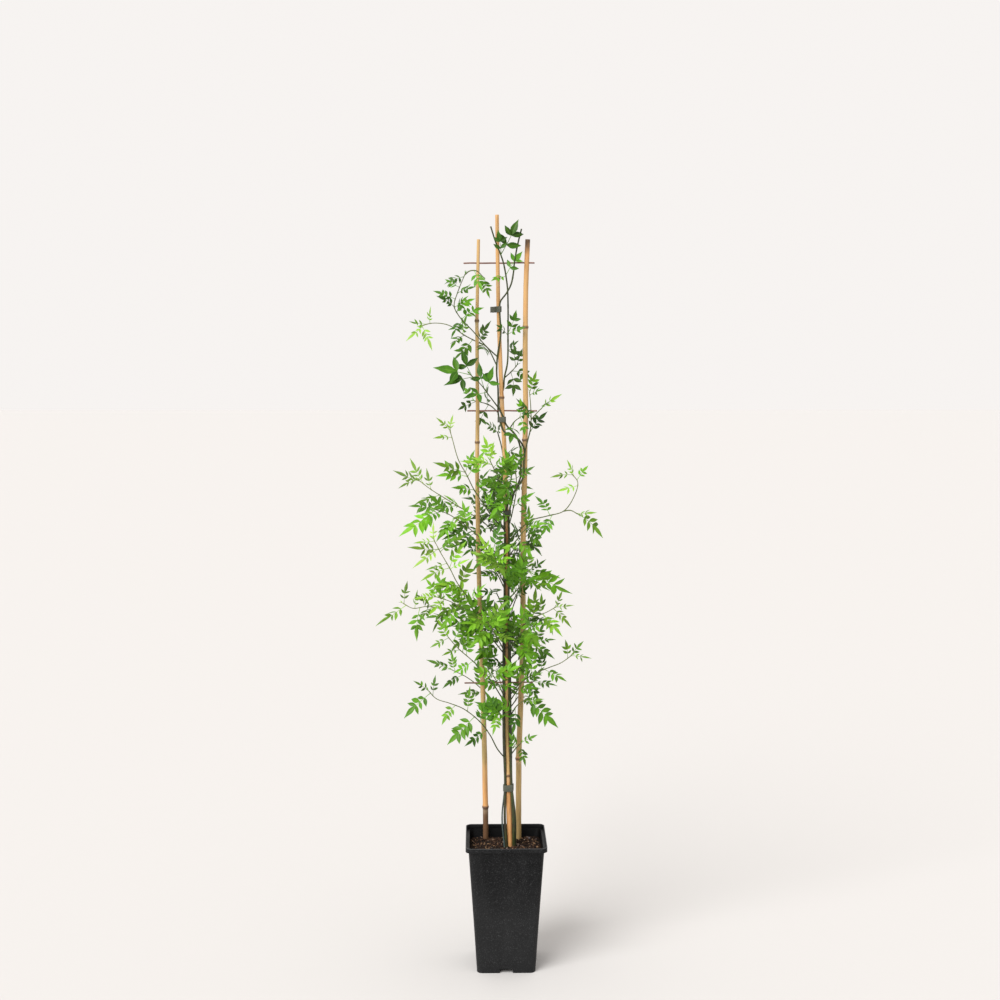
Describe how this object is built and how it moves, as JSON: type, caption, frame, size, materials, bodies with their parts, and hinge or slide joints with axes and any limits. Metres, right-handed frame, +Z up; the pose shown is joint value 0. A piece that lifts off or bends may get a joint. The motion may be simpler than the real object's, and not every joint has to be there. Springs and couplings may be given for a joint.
{
  "type": "potted common jasmine",
  "caption": "Twining jasmine with compound green leaves, tied to three bamboo canes with cross sticks in a tall square nursery pot of soil.",
  "frame": {"origin": "centre of the pot's base, on the surface that it stands on", "axes": "+Z up the canes, -Y towards the viewer of the picture, +X to that viewer's right"},
  "size_m": [0.401, 0.2338, 1.321],
  "materials": {
    "pot_plastic": "satin black moulded plastic with a fine speckle",
    "potting_soil": "loose dark brown bark and peat with reddish chips",
    "bamboo": "smooth tan bamboo with nodes and brown streaks",
    "stick_wood": "thin reddish brown sticks",
    "tie_tape": "grey green tape",
    "main_stem": "dark green to purple brown stems with green leaves near the top",
    "green_shoot": "green stalks and smooth leaflets, yellow green at the young tips",
    "leaf": "smooth satin leaflets, darker when old and yellow green when young"
  },
  "bodies": {
    "root": {"pot": "pot_plastic", "soil": "potting_soil", "cane_left": "bamboo", "cane_middle": "bamboo", "cane_right": "bamboo", "cross_stick_top": "stick_wood", "cross_stick_middle": "stick_wood", "cross_stick_bottom": "stick_wood", "tie_top": "tie_tape", "tie_upper": "tie_tape", "tie_centre": "tie_tape", "tie_lower": "tie_tape", "tie_bottom": "tie_tape", "main_stem_1": "main_stem", "main_stem_2": "main_stem", "main_stem_3": "main_stem", "main_stem_4": "main_stem", "main_stem_5": "main_stem", "shoot_left_1": "green_shoot", "shoot_left_2": "green_shoot", "shoot_left_3": "green_shoot", "shoot_left_4": "green_shoot", "shoot_left_5": "green_shoot", "shoot_left_6": "green_shoot", "shoot_left_7": "green_shoot", "shoot_left_8": "green_shoot", "shoot_left_9": "green_shoot", "shoot_left_10": "green_shoot", "shoot_left_11": "green_shoot", "shoot_left_12": "green_shoot", "shoot_left_13": "green_shoot", "shoot_right_1": "green_shoot", "shoot_right_2": "green_shoot", "shoot_right_3": "green_shoot", "shoot_right_4": "green_shoot", "shoot_right_5": "green_shoot", "shoot_right_6": "green_shoot", "shoot_right_7": "green_shoot", "shoot_right_8": "green_shoot", "shoot_right_9": "green_shoot", "shoot_right_10": "green_shoot", "shoot_right_11": "green_shoot", "shoot_front_1": "green_shoot", "shoot_front_2": "green_shoot", "shoot_front_3": "green_shoot", "shoot_front_4": "green_shoot", "shoot_front_5": "green_shoot", "shoot_front_6": "green_shoot", "shoot_front_7": "green_shoot", "shoot_front_8": "green_shoot", "shoot_front_9": "green_shoot", "shoot_front_10": "green_shoot", "shoot_back_1": "green_shoot", "shoot_back_2": "green_shoot", "shoot_back_3": "green_shoot", "shoot_back_4": "green_shoot", "shoot_back_5": "green_shoot", "shoot_back_6": "green_shoot", "shoot_back_7": "green_shoot", "shoot_back_8": "green_shoot"}
  },
  "joints": []
}
